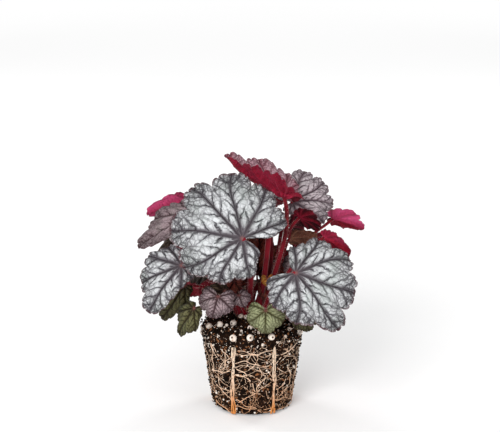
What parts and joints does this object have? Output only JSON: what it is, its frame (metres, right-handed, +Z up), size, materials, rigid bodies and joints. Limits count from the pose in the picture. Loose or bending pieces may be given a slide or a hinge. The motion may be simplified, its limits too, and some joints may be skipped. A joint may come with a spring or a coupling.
{
  "type": "heuchera plant",
  "caption": "Young heuchera with silver, dark-veined lobed leaves, crimson stems and leaf undersides, standing on its bare, root-bound ball of soil.",
  "frame": {"origin": "centre of the root ball's flat underside, where the plant rests", "axes": "+Z up the plant's axis, -Y to the front, where the largest leaf faces, +X to the right seen from the front"},
  "size_m": [0.1712, 0.1318, 0.1923],
  "materials": {
    "leaf_silver": "matt silvery grey blade with dark purple veins, crimson underside",
    "leaf_blush": "matt silvery grey blade with a pink tinge and dark purple veins, crimson underside",
    "leaf_rose": "matt greyish pink blade with dark veins, bright crimson underside",
    "leaf_mauve": "matt mauve grey blade with dark veins",
    "leaf_green": "matt light yellowish green blade with dark veins",
    "leaf_olive": "matt olive green blade with darker veins",
    "leaf_dark": "matt dark bronze blade",
    "stem": "satin crimson stem with a paler lit edge",
    "crown": "rough brown crown with dry scales",
    "soil": "damp dark potting soil with white perlite",
    "root": "matt cream to tan roots"
  },
  "bodies": {
    "root": {"root_ball": "soil", "crown": "crown", "root_bundle_1": "root", "root_bundle_2": "root", "root_bundle_3": "root", "root_bundle_4": "root", "root_bundle_5": "root", "root_bundle_6": "root", "stem_front_great": "stem", "blade_front_great": "leaf_silver", "stem_front_right": "stem", "blade_front_right": "leaf_silver", "stem_front_left": "stem", "blade_front_left": "leaf_silver", "stem_top_folded": "stem", "blade_top_folded": "leaf_rose", "stem_right_upper": "stem", "blade_right_upper": "leaf_blush", "stem_right_inner": "stem", "blade_right_inner": "leaf_rose", "stem_right_tip": "stem", "blade_right_tip": "leaf_rose", "stem_right_arched": "stem", "blade_right_arched": "leaf_rose", "stem_left_tip": "stem", "blade_left_tip": "leaf_rose", "stem_left_upper": "stem", "blade_left_upper": "leaf_mauve", "stem_left_inner": "stem", "blade_left_inner": "leaf_dark", "stem_young_mauve": "stem", "blade_young_mauve": "leaf_mauve", "stem_young_small": "stem", "blade_young_small": "leaf_mauve", "stem_young_green": "stem", "blade_young_green": "leaf_green", "stem_low_left_upper": "stem", "blade_low_left_upper": "leaf_olive", "stem_low_left_tip": "stem", "blade_low_left_tip": "leaf_olive", "stem_low_right": "stem", "blade_low_right": "leaf_olive", "stem_inner_right": "stem", "blade_inner_right": "leaf_mauve", "stem_inner_left": "stem", "blade_inner_left": "leaf_dark", "stem_back_left": "stem", "blade_back_left": "leaf_silver", "stem_back_right": "stem", "blade_back_right": "leaf_silver", "stem_back_top": "stem", "blade_back_top": "leaf_silver", "stem_back_low_left": "stem", "blade_back_low_left": "leaf_silver", "stem_back_low_right": "stem", "blade_back_low_right": "leaf_silver", "stem_back_olive": "stem", "blade_back_olive": "leaf_olive", "stem_wilted_right": "stem", "blade_wilted_right": "leaf_dark"}
  },
  "joints": []
}
